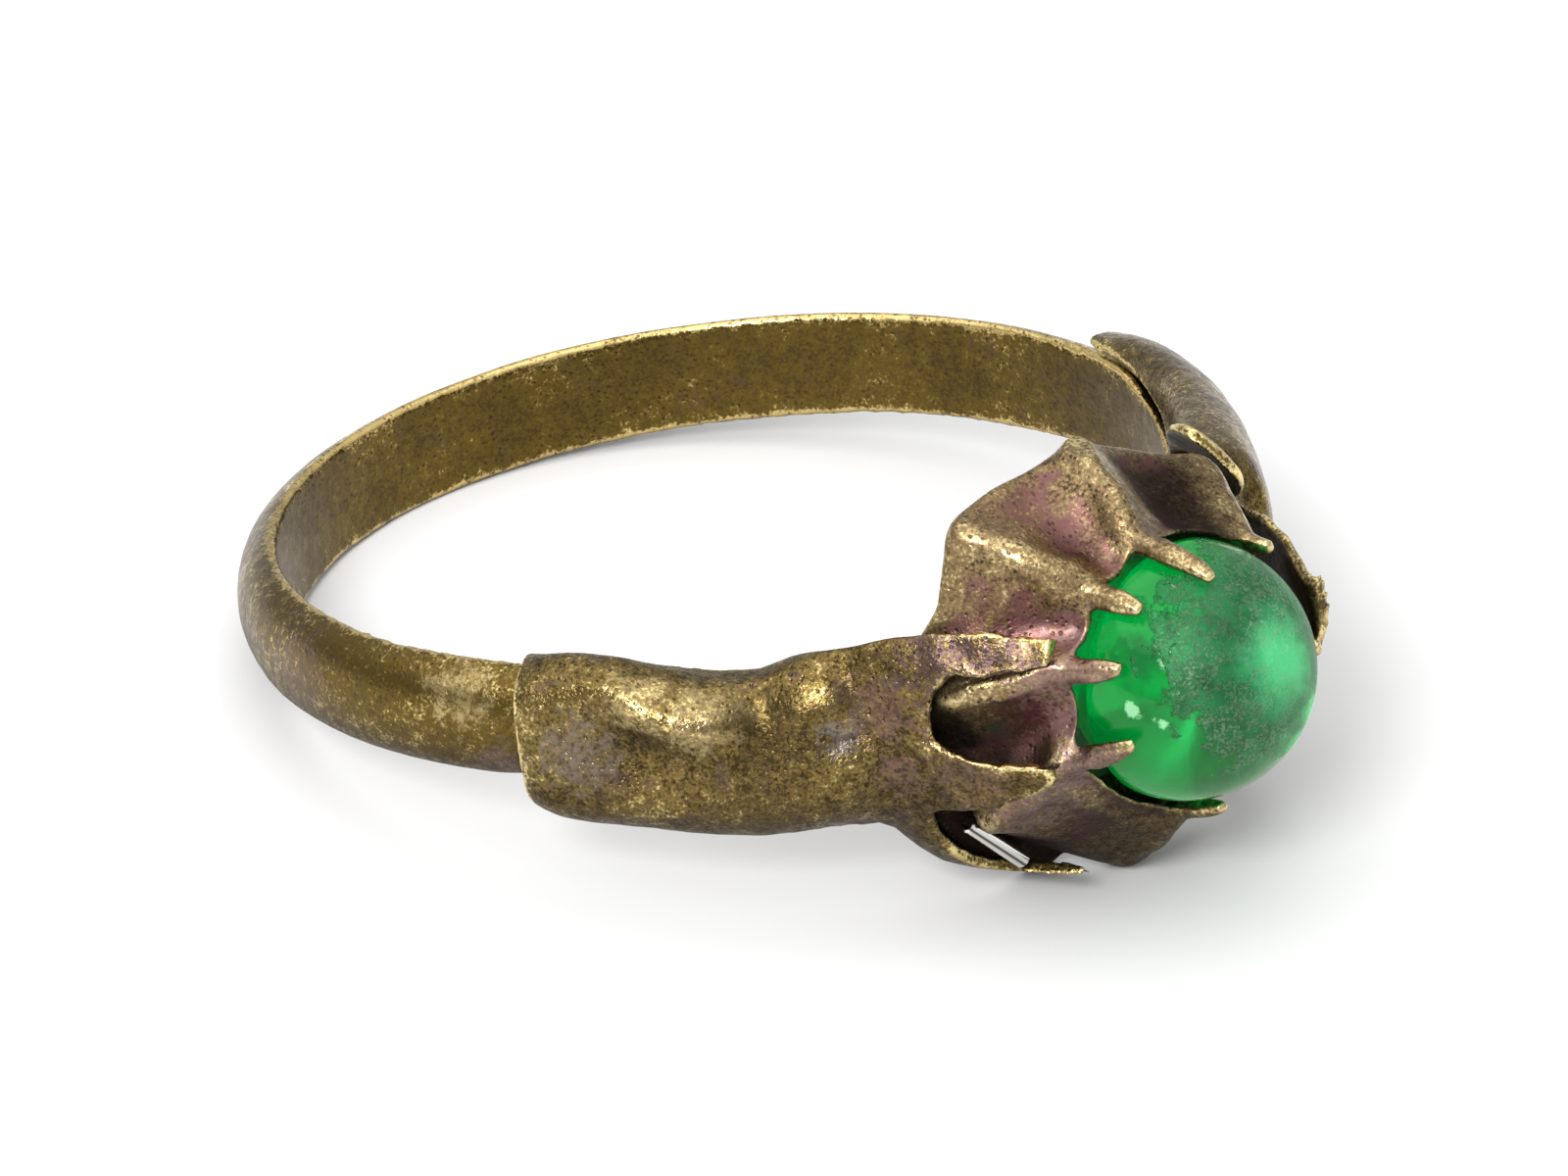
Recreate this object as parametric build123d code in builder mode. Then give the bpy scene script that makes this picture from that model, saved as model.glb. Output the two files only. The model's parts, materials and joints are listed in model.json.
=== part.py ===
from build123d import *

# A worn brass finger ring with a green glass cabochon. A full hoop of half-round strip
# carries a fluted cup, whose eight ridges run on as claws over the stone. Two hollow
# shoulders of thin sheet straddle the hoop, widen towards the cup and end in tongues
# with slots between them. A bright steel pin lies across one slot.
#
# Everything is drawn with the finger axis along Z, the centre of the finger hole at the
# origin and the stone facing -Y. The last step leans the ring onto its cup and the back
# of its hoop, as it lies on a table. Angles round the stone's axis start at the top, +Z,
# and grow towards -X. Angles round the finger axis start at the stone.

import os
from math import atan2, cos, degrees, hypot, radians, sin, sqrt

# Hoop
finger_diameter = 18.0
band_width = 2.2
band_thickness = 0.95
band_edge_radius = 0.12
narrow_width = 1.1
narrow_from_angle = 70.0
narrow_to_angle = 46.0

# Stone
stone_diameter = 5.2
girdle_height = 0.15
bevel_height = 0.9
stone_base_diameter = 4.3
girdle_above_rim = 0.1

# Cup with its claws
head_drop = 0.25
cup_diameter = 8.7
cup_height = 2.55
cup_wall = 0.3
cup_floor = 0.35
rim_diameter = 6.2
flute_depth = 0.55
ridge_width = 0.7
claw_width = 0.56
claw_thickness = 0.4
foot_spread = 0.4

# Hollow shoulders
sheet = 0.26
sleeve_height = 3.3
sleeve_rise = 1.15
foot_tuck = 0.08
slot_corner_radius = 0.62

# Steel pin
pin_diameter = 0.36
pin_length = 1.9
pin_end_chamfer = 0.04
pin_angle = 136.0

# Small gaps between pieces
seat_gap = 0.05
claw_gap = 0.04
collar_gap = 0.06

finger_radius = finger_diameter / 2
band_half = band_width / 2
narrow_half = narrow_width / 2
hoop_radius = finger_radius + band_thickness
seat_level = hoop_radius + seat_gap
rim_level = seat_level + cup_height
girdle_level = rim_level + girdle_above_rim
stone_radius = stone_diameter / 2
dome_height = girdle_height + stone_radius
cup_radius = cup_diameter / 2
rim_radius = rim_diameter / 2

# Cup wall from floor to rim: level as a share of the cup's height, radius of the ridges
# from the rim's (0) to the cup's widest (1), and depth of the flutes as a share.
cup_sections = [
    {"level": 0.00, "ridge": 0.64, "flute": 0.30},
    {"level": 0.10, "ridge": 0.95, "flute": 0.62},
    {"level": 0.28, "ridge": 1.00, "flute": 0.90},
    {"level": 0.52, "ridge": 0.72, "flute": 1.00},
    {"level": 0.78, "ridge": 0.34, "flute": 0.80},
    {"level": 1.00, "ridge": 0.00, "flute": 0.32},
]

# Claws in order round the stone: angle of the ridge at the floor and of the claw's tip,
# height of the tip above the girdle as a share of the dome's, how far it stands off the
# dome in claw thicknesses, and how far the ridge is bent outwards in foot_spreads, at the
# floor and at the rim. The flute after it has a share of the full depth, low and high.
claws = [
    {"base": -2, "tip": 10, "reach": 0.50, "off": 0.0, "out": 0.0, "rim": 0.0,
     "low": 0.8, "high": 1.0},
    {"base": 43, "tip": 40, "reach": 0.24, "off": 0.0, "out": 1.3, "rim": 0.0,
     "low": 0.2, "high": 1.0},
    {"base": 88, "tip": 70, "reach": 0.25, "off": 0.1, "out": 0.0, "rim": 0.3,
     "low": 1.0, "high": 1.0},
    {"base": 130, "tip": 106, "reach": 0.36, "off": 0.1, "out": 0.0, "rim": 0.5,
     "low": 0.9, "high": 0.8},
    {"base": 180, "tip": 176, "reach": 0.32, "off": 0.0, "out": 0.8, "rim": 0.2,
     "low": 0.2, "high": 0.9},
    {"base": 226, "tip": 225, "reach": 0.28, "off": 0.1, "out": 0.4, "rim": 0.1,
     "low": 0.8, "high": 0.9},
    {"base": 268, "tip": 259, "reach": 0.28, "off": 0.9, "out": 0.0, "rim": 0.0,
     "low": 1.0, "high": 0.9},
    {"base": 310, "tip": 306, "reach": 0.14, "off": 0.5, "out": 0.0, "rim": 0.0,
     "low": 1.0, "high": 0.9},
]

# A claw along its length: share of the way from its root in the cup wall to its tip,
# width and thickness as shares of the claw's.
claw_sections = [
    {"along": 0.00, "width": 0.60, "thickness": 0.40},
    {"along": 0.25, "width": 1.30, "thickness": 0.90},
    {"along": 0.55, "width": 1.10, "thickness": 1.00},
    {"along": 0.90, "width": 0.90, "thickness": 0.85},
    {"along": 1.00, "width": 0.50, "thickness": 0.50},
]

# A shoulder's arched sleeve from its mouth to the cup: angles of its foot and its crown
# round the finger axis, height of the crown above the hoop as a share of sleeve_rise,
# heights of the upper and lower side as shares of half of sleeve_height.
left_sleeve = [
    {"foot": 69.0, "crown": 68.5, "rise": 0.34, "top": 0.84, "bottom": 0.86},
    {"foot": 65.0, "crown": 64.0, "rise": 0.42, "top": 0.93, "bottom": 1.00},
    {"foot": 58.0, "crown": 56.5, "rise": 0.44, "top": 0.84, "bottom": 1.10},
    {"foot": 50.0, "crown": 47.5, "rise": 0.46, "top": 0.60, "bottom": 1.26},
    {"foot": 42.5, "crown": 39.0, "rise": 0.66, "top": 0.52, "bottom": 1.36},
    {"foot": 35.0, "crown": 31.5, "rise": 1.00, "top": 0.66, "bottom": 1.42},
]
right_sleeve = [
    {"foot": 83.0, "crown": 83.0, "rise": 0.36, "top": 0.80, "bottom": 0.86},
    {"foot": 71.0, "crown": 71.0, "rise": 0.50, "top": 0.96, "bottom": 0.96},
    {"foot": 61.0, "crown": 60.0, "rise": 0.56, "top": 1.00, "bottom": 1.08},
    {"foot": 51.0, "crown": 49.0, "rise": 0.68, "top": 1.02, "bottom": 1.16},
    {"foot": 42.5, "crown": 39.0, "rise": 0.94, "top": 1.06, "bottom": 1.26},
    {"foot": 35.0, "crown": 31.5, "rise": 1.26, "top": 1.10, "bottom": 1.34},
]

# Half of an arch, from its foot beside the hoop to its crown: depth and height as shares.
arch_points = [
    {"depth": 0.36, "height": 1.00},
    {"depth": 0.80, "height": 0.78},
]

# Collar of a shoulder, which lies round the cup: level as a share of the cup's height,
# angles of its two ends round the stone's axis, and how far it lies off the ridges
# beyond collar_gap, at its upper end, its middle and its lower end, in sheet thicknesses.
left_collar = [
    {"level": 0.26, "from": 66, "to": 157, "upper": 0.3, "middle": 0.5, "lower": -0.9},
    {"level": 0.60, "from": 63, "to": 158, "upper": 0.4, "middle": 0.8, "lower": -0.8},
    {"level": 0.97, "from": 60, "to": 154, "upper": 0.5, "middle": 1.5, "lower": 0.3},
]
right_collar = [
    {"level": 0.26, "from": 50, "to": 146, "upper": 0.2, "middle": 1.2, "lower": 0.3},
    {"level": 0.65, "from": 56, "to": 142, "upper": 0.6, "middle": 1.7, "lower": 0.3},
    {"level": 1.00, "from": 66, "to": 130, "upper": 1.4, "middle": 2.0, "lower": 1.0},
    {"level": 1.26, "from": 80, "to": 92, "upper": 1.4, "middle": 1.4, "lower": 1.4},
]

# Cuts that part the collar into tongues: level of the closed end as a share of the cup's
# height, its two sides round the stone's axis, and the two sides far beyond the rim. The
# closed end's corners are rounded, or it leaves a rounded tab where tab is true.
left_cuts = [
    {"closed": 0.19, "from": 78, "to": 95, "open_from": 58, "open_to": 112, "tab": False},
    {"closed": -0.12, "from": 121, "to": 149, "open_from": 95, "open_to": 210, "tab": False},
]
right_cuts = [
    {"closed": -0.32, "from": 46, "to": 78, "open_from": 36, "open_to": 82, "tab": True},
    {"closed": -0.10, "from": 118, "to": 134, "open_from": 97, "open_to": 205, "tab": False},
]

# A ball bitten out of the far mouth leaves a hooked corner: angle round the finger axis,
# distance from it beyond the finger's radius, height, and radius, in mm.
right_bite = {"angle": 84.5, "out": 0.0, "height": -0.4, "radius": 2.15}


def between(low, high, share):
    """The value that lies a share of the way from low to high."""
    return low + (high - low) * share


def at_share(table, key, share, column):
    """A table's column at any share of its key, in straight steps."""
    for lower, upper in zip(table, table[1:]):
        if share <= upper[key]:
            part = (share - lower[key]) / (upper[key] - lower[key])
            return between(lower[column], upper[column], part)
    return table[-1][column]


def on_ring(angle, radius):
    """A point round the stone's axis, in the coordinates of stone_plane."""
    return (-radius * sin(radians(angle)), radius * cos(radians(angle)))


def stone_plane(level):
    """A plane across the stone's axis, with its normal away from the finger."""
    return Plane(origin=(0, -level, -head_drop), x_dir=(1, 0, 0), z_dir=(0, -1, 0))


def ridge_radius(share):
    """Outer radius of the cup's ridges at a share of its height."""
    return between(rim_radius, cup_radius, at_share(cup_sections, "level", share, "ridge"))


def bend(claw, share):
    """How far a ridge is bent outwards at a share of the cup's height."""
    return foot_spread * between(claw["out"], claw["rim"], share**2)


def fluted_section(share, inset):
    """The cup's outline at a share of its height, moved inwards by inset: an arc over
    each ridge and a hollow arc for each flute."""
    ridge = ridge_radius(share) - inset
    half_ridge = degrees(ridge_width / 2 / ridge)
    arcs = []
    for claw, after in zip(claws, claws[1:] + claws[:1]):
        angle = between(claw["base"], claw["tip"], share)
        next_angle = between(after["base"], after["tip"], share)
        next_angle += 360 if next_angle < angle else 0
        depth = flute_depth * at_share(cup_sections, "level", share, "flute")
        crest = ridge + bend(claw, share)
        next_crest = ridge + bend(after, share)
        dip = depth * between(claw["low"], claw["high"], share)
        side_drop = 0.3 * depth * claw["high"]
        middle = (angle + next_angle) / 2
        arcs.append(
            [
                on_ring(angle - half_ridge, crest - side_drop),
                on_ring(angle, crest),
                on_ring(angle + half_ridge, crest - side_drop),
                on_ring(middle, (crest + next_crest) / 2 - dip),
            ]
        )
    with BuildSketch(stone_plane(seat_level + share * cup_height)) as section:
        with BuildLine():
            for arc, after in zip(arcs, arcs[1:] + arcs[:1]):
                start, top, end, valley = arc
                ThreePointArc(start, top, end)
                ThreePointArc(end, valley, after[0])
        make_face()
    return section.sketch


def dome_radius(level):
    """Radius of the stone at a level on its girdle or its half-round dome."""
    height = max(level - girdle_level - girdle_height, 0)
    return sqrt(stone_radius**2 - height**2)


def claw_centre(claw, along):
    """A point of a claw's centre line at a share of the way from root to tip."""
    root_of_claw = seat_level + 0.45 * cup_height
    tip_level = girdle_level + claw["reach"] * dome_height
    level = between(root_of_claw, tip_level, along)
    half = claw_thickness / 2
    if level < rim_level:
        share = (level - seat_level) / cup_height
        angle = between(claw["base"], claw["tip"], share)
        radius = ridge_radius(share) + bend(claw, share) - half
    else:
        past = (level - rim_level) / (tip_level - rim_level)
        angle = claw["tip"]
        over_stone = claw_gap + half
        off_rim = rim_radius + bend(claw, 1) - half - dome_radius(rim_level) - over_stone
        radius = dome_radius(level) + over_stone + claw["off"] * claw_thickness * past
        radius += off_rim * (1 - past) ** 2
    x, z = on_ring(angle, radius)
    return Vector(x, -level, z - head_drop)


# Hoop: a half-round section, flat towards the finger, trimmed narrower beside the cup.
with BuildPart() as band:
    with BuildSketch(Plane.XZ) as band_section:
        with BuildLine():
            inner_side = Line((finger_radius, -band_half), (finger_radius, band_half))
            ThreePointArc(inner_side @ 1, (hoop_radius, 0), inner_side @ 0)
        make_face()
        fillet(band_section.vertices(), band_edge_radius)
    revolve(axis=Axis.Z)
    wide_at = -finger_radius * cos(radians(narrow_from_angle))
    narrow_at = -finger_radius * cos(radians(narrow_to_angle))
    with BuildSketch(Plane.YZ) as trim:
        for side in (1, -1):
            with BuildLine():
                Polyline(
                    (wide_at, side * band_width),
                    (wide_at, side * band_half),
                    (narrow_at, side * narrow_half),
                    (-hoop_radius - band_width, side * narrow_half),
                    (-hoop_radius - band_width, side * band_width),
                    close=True,
                )
            make_face()
    extrude(amount=hoop_radius + band_width, both=True, mode=Mode.SUBTRACT)
band.part.label = "band"


# Cup: lofted through fluted outlines, hollowed the same way, with the claws fused on.
with BuildPart() as setting:
    loft(sections=[fluted_section(row["level"], 0) for row in cup_sections])
    floor_share = cup_floor / cup_height
    hollow = [floor_share]
    hollow += [row["level"] for row in cup_sections if row["level"] > 1.5 * floor_share]
    loft(
        sections=[fluted_section(share, cup_wall) for share in hollow],
        mode=Mode.SUBTRACT,
    )
    for claw in claws:
        sections = []
        for row in claw_sections:
            centre = claw_centre(claw, row["along"])
            ahead = claw_centre(claw, min(row["along"] + 0.05, 1))
            behind = claw_centre(claw, max(row["along"] - 0.05, 0))
            forwards = (ahead - behind).normalized()
            outwards = Vector(centre.X, 0, centre.Z + head_drop)
            sideways = forwards.cross(outwards).normalized()
            plane = Plane(origin=centre, x_dir=sideways, z_dir=forwards)
            with BuildSketch(plane) as section:
                Ellipse(
                    row["width"] * claw_width / 2, row["thickness"] * claw_thickness / 2
                )
            sections.append(section.sketch)
        loft(sections=sections)
setting.part.label = "setting"


# Stone: a half-round dome over a short girdle and a bevel, turned round its axis.
with BuildPart() as stone:
    centre = (0, 0, -head_drop)
    with BuildSketch(Plane(origin=centre, x_dir=(1, 0, 0), z_dir=(0, 0, -1))):
        with BuildLine():
            base_level = girdle_level - bevel_height
            base = Line((0, base_level), (stone_base_diameter / 2, base_level))
            bevel = Line(base @ 1, (stone_radius, girdle_level))
            Line(bevel @ 1, (stone_radius, girdle_level + girdle_height))
            dome = CenterArc((0, girdle_level + girdle_height), stone_radius, 0, 90)
            Line(dome @ 1, base @ 0)
        make_face()
    revolve(axis=Axis(centre, (0, -1, 0)))
stone.part.label = "stone"


def offset_inwards(points, distance):
    """An open run of points moved square to itself, to its left-hand side."""
    moved = []
    for index, (x, y) in enumerate(points):
        x0, y0 = points[max(index - 1, 0)]
        x1, y1 = points[min(index + 1, len(points) - 1)]
        length = hypot(x1 - x0, y1 - y0)
        moved.append((x - (y1 - y0) / length * distance, y + (x1 - x0) / length * distance))
    return moved


def hoop_half(angle):
    """Half of the hoop's width at an angle from the stone."""
    share = (narrow_from_angle - angle) / (narrow_from_angle - narrow_to_angle)
    return between(band_half, narrow_half, min(max(share, 0), 1))


def arch_section(row):
    """A sleeve's strip of sheet, arched over the hoop from its upper to its lower foot."""

    def in_plan(angle, radius):
        return Vector(-radius * sin(radians(angle)), -radius * cos(radians(angle)), 0)

    foot = in_plan(row["foot"], finger_radius + foot_tuck)
    crown = in_plan(row["crown"], hoop_radius + row["rise"] * sleeve_rise)
    outwards = crown - foot
    depth = outwards.length
    top = row["top"] * sleeve_height / 2
    bottom = -row["bottom"] * sleeve_height / 2
    foot_height = hoop_half(row["foot"]) + seat_gap + sheet
    outside = [(0, foot_height)]
    outside += [(p["depth"] * depth, p["height"] * top) for p in arch_points]
    outside += [(depth, (top + bottom) / 2)]
    outside += [(p["depth"] * depth, p["height"] * bottom) for p in arch_points[::-1]]
    outside += [(0, -foot_height)]
    inside = offset_inwards(outside, -sheet)[::-1]
    plane = Plane(origin=foot, x_dir=outwards, z_dir=outwards.cross(Vector(0, 0, 1)))
    with BuildSketch(plane) as section:
        with BuildLine():
            Spline(*outside)
            Line(outside[-1], inside[0])
            Spline(*inside)
            Line(inside[-1], outside[0])
        make_face()
    return section.sketch


def collar_section(row):
    """A strip of sheet round part of the cup."""
    ridge = ridge_radius(min(row["level"], 1)) + collar_gap + sheet
    middle = (row["from"] + row["to"]) / 2
    outer = [
        on_ring(row["from"], ridge + row["upper"] * sheet),
        on_ring(middle, ridge + row["middle"] * sheet),
        on_ring(row["to"], ridge + row["lower"] * sheet),
    ]
    shrink = [1 - sheet / hypot(*point) for point in outer]
    inner = [(x * k, y * k) for (x, y), k in zip(outer, shrink)]
    with BuildSketch(stone_plane(seat_level + row["level"] * cup_height)) as section:
        with BuildLine():
            ThreePointArc(*outer)
            Line(outer[2], inner[2])
            ThreePointArc(*inner[::-1])
            Line(inner[0], outer[0])
        make_face()
    return section.sketch


def tongue_cutter(cut):
    """A cutter between two tongues, drawn square to the stone's axis at its angle."""
    middle = (cut["from"] + cut["to"]) / 2
    x, z = on_ring(middle, 1)
    reach = cup_radius + 2 * sheet
    half = reach * sin(radians((cut["to"] - cut["from"]) / 2))
    closed = cut["closed"] * cup_height
    opened = 1.5 * cup_height
    open_from, open_to = (
        rim_radius * sin(radians(cut[side] - middle)) for side in ("open_from", "open_to")
    )
    centre = (0, -seat_level, -head_drop)
    with BuildPart() as cutter:
        with BuildSketch(Plane(origin=centre, x_dir=(0, -1, 0), z_dir=(x, 0, z))) as outline:
            with BuildLine():
                Polyline(
                    (closed, half),
                    (closed, -half),
                    (opened, -open_to),
                    (opened, -open_from),
                    close=True,
                )
            make_face()
            if cut["tab"]:
                with Locations((closed, 0)):
                    Circle(half, mode=Mode.SUBTRACT)
            else:
                corners = outline.vertices().group_by(Axis.X)[0]
                fillet(corners, min(half, slot_corner_radius))
        extrude(amount=reach + cup_radius)
    return cutter.part


def shoulder_halves(sleeve, collar, cuts):
    """A hollow shoulder for the left side: its sleeve, its collar cut into tongues, and the
    centre of the neck in which the two meet."""
    arches = [arch_section(row) for row in sleeve]
    cutters = [tongue_cutter(cut) for cut in cuts]
    with BuildPart() as tongues:
        loft(sections=arches[-1:] + [collar_section(row) for row in collar])
        add(cutters, mode=Mode.SUBTRACT)
    with BuildPart() as tube:
        loft(sections=arches)
    return tube, tongues, arches[-1].center()


tube, tongues, neck = shoulder_halves(left_sleeve, left_collar, left_cuts)
skin = []
for half in (tube, tongues):
    skin += half.faces().sort_by(lambda face: (face.center() - neck).length)[1:]
sewn = Solid(Shell(skin))
with BuildPart() as shoulder_left:
    add(sewn)
shoulder_left.part.label = "shoulder_left"

tube, tongues, neck = shoulder_halves(right_sleeve, right_collar, right_cuts)
with BuildPart() as shoulder_right:
    add([half.part.mirror(Plane.YZ) for half in (tongues, tube)])
    bite_from = finger_radius + right_bite["out"]
    bite_x = bite_from * sin(radians(right_bite["angle"]))
    bite_y = -bite_from * cos(radians(right_bite["angle"]))
    with Locations((bite_x, bite_y, right_bite["height"])):
        Sphere(right_bite["radius"], mode=Mode.SUBTRACT)
shoulder_right.part.label = "shoulder_right"


# Pin: a short straight rod between the left shoulder's sheet and the cup, across the
# lower slot. It lies square to the stone's axis, level with the cup's floor.
pin_off_axis = cup_radius
x, z = on_ring(pin_angle, pin_off_axis)
pin_direction = Vector(-z, 0, x).normalized()
with BuildPart() as steel_pin:
    centre = (x, -seat_level, z - head_drop)
    with BuildSketch(Plane(origin=centre, z_dir=pin_direction)):
        Circle(pin_diameter / 2)
    extrude(amount=pin_length / 2, both=True)
    chamfer(steel_pin.edges().filter_by(GeomType.CIRCLE), pin_end_chamfer)
steel_pin.part.label = "steel_pin"


# Rest: the ring leans on the widest part of the cup's lowest ridge, opposite the first,
# and on the rounded lower edge at the back of the hoop.
widest = max(cup_sections, key=lambda row: row["ridge"])["level"]
lowest_ridge = claws[len(claws) // 2]
foot_drop = head_drop + cup_radius + bend(lowest_ridge, widest)
foot_level = seat_level + widest * cup_height
back_radius = finger_radius + band_edge_radius
back_drop = band_half - band_edge_radius
rest_tilt = degrees(atan2(foot_drop - back_drop, foot_level + back_radius))
rest = Location((0, 0, 0), (-rest_tilt, 0, 0))

os.makedirs("parts", exist_ok=True)
for piece in (band, setting, stone, shoulder_left, shoulder_right, steel_pin):
    export_step(piece.part.moved(rest), f"parts/{piece.part.label}.step")
print("rest tilt", round(rest_tilt, 3))
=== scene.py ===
import json
import math

import bmesh
import bpy
import numpy as np
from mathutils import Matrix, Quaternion, Vector, noise


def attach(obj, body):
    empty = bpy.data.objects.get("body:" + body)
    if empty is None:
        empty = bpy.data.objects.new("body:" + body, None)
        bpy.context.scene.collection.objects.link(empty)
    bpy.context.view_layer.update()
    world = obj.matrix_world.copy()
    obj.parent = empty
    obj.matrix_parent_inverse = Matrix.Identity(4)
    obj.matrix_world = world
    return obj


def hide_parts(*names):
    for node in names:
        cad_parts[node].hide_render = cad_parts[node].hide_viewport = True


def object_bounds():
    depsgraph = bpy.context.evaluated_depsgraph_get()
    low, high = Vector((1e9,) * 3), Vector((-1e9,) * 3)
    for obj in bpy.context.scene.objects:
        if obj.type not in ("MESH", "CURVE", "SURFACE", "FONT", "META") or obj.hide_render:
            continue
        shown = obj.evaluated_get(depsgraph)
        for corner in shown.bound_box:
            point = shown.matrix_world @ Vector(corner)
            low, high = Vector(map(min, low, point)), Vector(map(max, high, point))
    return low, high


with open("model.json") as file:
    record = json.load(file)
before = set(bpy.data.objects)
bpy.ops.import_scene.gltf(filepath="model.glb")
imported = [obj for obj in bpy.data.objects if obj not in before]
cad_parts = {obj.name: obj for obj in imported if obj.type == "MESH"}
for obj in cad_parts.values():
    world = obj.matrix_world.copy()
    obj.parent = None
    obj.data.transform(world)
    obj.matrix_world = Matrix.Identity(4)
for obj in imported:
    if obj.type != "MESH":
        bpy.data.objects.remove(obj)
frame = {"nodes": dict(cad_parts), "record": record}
cadBox = [list(corner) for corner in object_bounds()]
scene = bpy.context.scene
mm = 0.001
weldDistance = 1e-7  # vertices nearer than this many metres become one
ownShare = 0.4  # of its own value, kept by a vertex in each round of relaxing
lumpSteps = (7.3, 3.1, 5.7)  # how far a lump's seed moves its noise

# The finger axis leans by the resting tilt, as the finger hole's mount says.
fingerAxis = Vector(frame["record"]["mounts"][0]["axis"]).normalized()
leanSin, leanCos = fingerAxis.y, fingerAxis.z

# Levels of the head in mm, measured from the finger axis along the stone's axis, which
# lies lower than the hoop's middle by the drop.
head = {
    "drop": 0.25,
    "floorLevel": 10.0,
    "rimLevel": 12.55,
    "baseLevel": 11.75,
    "girdleLevel": 12.65,
    "girdleHeight": 0.15,
    "baseRadius": 2.15,
    "stoneRadius": 2.595,
}
domeLevel = head["girdleLevel"] + head["girdleHeight"]


# Places in metres to ring coordinates in mm: along the stone's axis, to the near side, up.
def toRing(spots):
    x, y, z = spots.T / mm
    return np.stack((leanSin * z - leanCos * y, -x, leanSin * y + leanCos * z), 1)


def fromRing(spots):
    along, near, up = spots.T * mm
    return np.stack((-near, leanSin * up - leanCos * along, leanCos * up + leanSin * along), 1)


def oneFromRing(spot):
    return fromRing(np.array([spot]))[0]


# A soft step from 0 at low to 1 at high, which may be the smaller one.
def smooth(low, high, value):
    share = np.clip((value - low) / (high - low), 0, 1)
    return share * share * (3 - 2 * share)


# A soft stretch: four rising edges, 0 outside the outer two and 1 between the inner two.
def stretch(edges, value):
    return smooth(edges[0], edges[1], value) * smooth(edges[3], edges[2], value)


# A soft hill round a middle, 1 at its top.
def hill(off, spread):
    return np.exp(-((off / spread) ** 2))


# The merged mesh of a CAD node in mm, remeshed evenly; grain is its cell size.
def denseCopy(node, grain):
    merged = bmesh.new()
    merged.from_mesh(frame["nodes"][node].data)
    bmesh.ops.remove_doubles(merged, verts=merged.verts, dist=weldDistance)
    bmesh.ops.scale(merged, vec=(1 / mm,) * 3, verts=merged.verts)
    rough = bpy.data.meshes.new(node + "Rough")
    merged.to_mesh(rough)
    merged.free()
    carrier = bpy.data.objects.new(node + "Carrier", rough)
    scene.collection.objects.link(carrier)
    remesh = carrier.modifiers.new("remesh", "REMESH")
    remesh.mode = "VOXEL"
    remesh.voxel_size = grain * 1
    remesh.use_smooth_shade = True
    seen = carrier.evaluated_get(bpy.context.evaluated_depsgraph_get())
    dense = bpy.data.meshes.new_from_object(seen)
    bpy.data.objects.remove(carrier)
    bpy.data.meshes.remove(rough)
    return dense


def perVertex(mesh, name):
    found = np.empty(len(mesh.vertices) * 3, np.float32)
    mesh.vertices.foreach_get(name, found)
    return found.reshape(-1, 3).astype(float)


def places(mesh):
    return perVertex(mesh, "co")


def normals(mesh):
    return perVertex(mesh, "normal")


def setPlaces(mesh, moved):
    mesh.vertices.foreach_set("co", moved.astype(np.float32).ravel())
    mesh.update()


def neighbours(mesh):
    pairs = np.empty(len(mesh.edges) * 2, np.int32)
    mesh.edges.foreach_get("vertices", pairs)
    return pairs.reshape(-1, 2)


# Values averaged over the mesh's edges, again and again.
def relaxed(values, pairs, rounds):
    start, end = pairs.T
    count = len(values)
    degree = np.bincount(start, minlength=count) + np.bincount(end, minlength=count)
    degree = np.maximum(degree, 1)[:, None]
    for _ in range(rounds):
        total = np.empty_like(values)
        for column in range(values.shape[1]):
            total[:, column] = np.bincount(start, values[end, column], count)
            total[:, column] += np.bincount(end, values[start, column], count)
        values = ownShare * values + (1 - ownShare) * total / degree
    return values


# Evens out the surface where weight is above 0.
def relaxPlaces(mesh, weight, rounds):
    now = places(mesh)
    pairs = neighbours(mesh)
    for _ in range(rounds):
        now += weight[:, None] * (relaxed(now, pairs, 1) - now)
    setPlaces(mesh, now)


# How far each vertex stands out from its relaxed surroundings, in the mesh's unit.
def standOut(mesh, rounds):
    now = places(mesh)
    away = now - relaxed(now, neighbours(mesh), rounds)
    return (away * normals(mesh)).sum(1)


# Level, angle from the top in degrees and radius round the stone's axis, of mm points.
def aroundStone(points):
    along, near, up = toRing(points * mm).T
    up = up + head["drop"]
    return along, np.degrees(np.arctan2(near, up)) % 360, np.hypot(near, up)


def fromStone(level, angle, radius):
    turn = np.radians(angle)
    up = radius * np.cos(turn) - head["drop"]
    return fromRing(np.stack((level, radius * np.sin(turn), up), 1)) / mm


# How much each place faces along the stone's axis, and how much towards that axis.
def facings(mesh, angle):
    along, near, up = toRing(normals(mesh) * mm).T
    turn = np.radians(angle)
    return along, -(near * np.sin(turn) + up * np.cos(turn))


# Smooth noise over points in mm, between the row's height and as much below 0.
def lumps(points, row):
    shift = Vector([row["seed"] * step for step in lumpSteps])
    found = [noise.noise(Vector(point) / row["size"] + shift) for point in points]
    return row["height"] * np.array(found)


def storeValue(mesh, name, values):
    layer = mesh.attributes.new(name, "FLOAT", "POINT")
    layer.data.foreach_set("value", values.astype(np.float32))


# How the marks of age and the painted shade are read from a mesh: the rounds of relaxing
# against which fine and wide relief are measured, how many spreads of it count as fully
# raised, and how much painted shade a place that faces down gets. A copy stays inside the
# CAD box by the margin, in mm.
marksAndShade = {
    "fineRounds": 8,
    "fineSpreads": 3,
    "wideRounds": 90,
    "wideSpreads": 2.5,
    "facingDown": (-0.3, 0.8),
    "undersideShade": 0.75,
    "boxMargin": 0.002,
}
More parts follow.
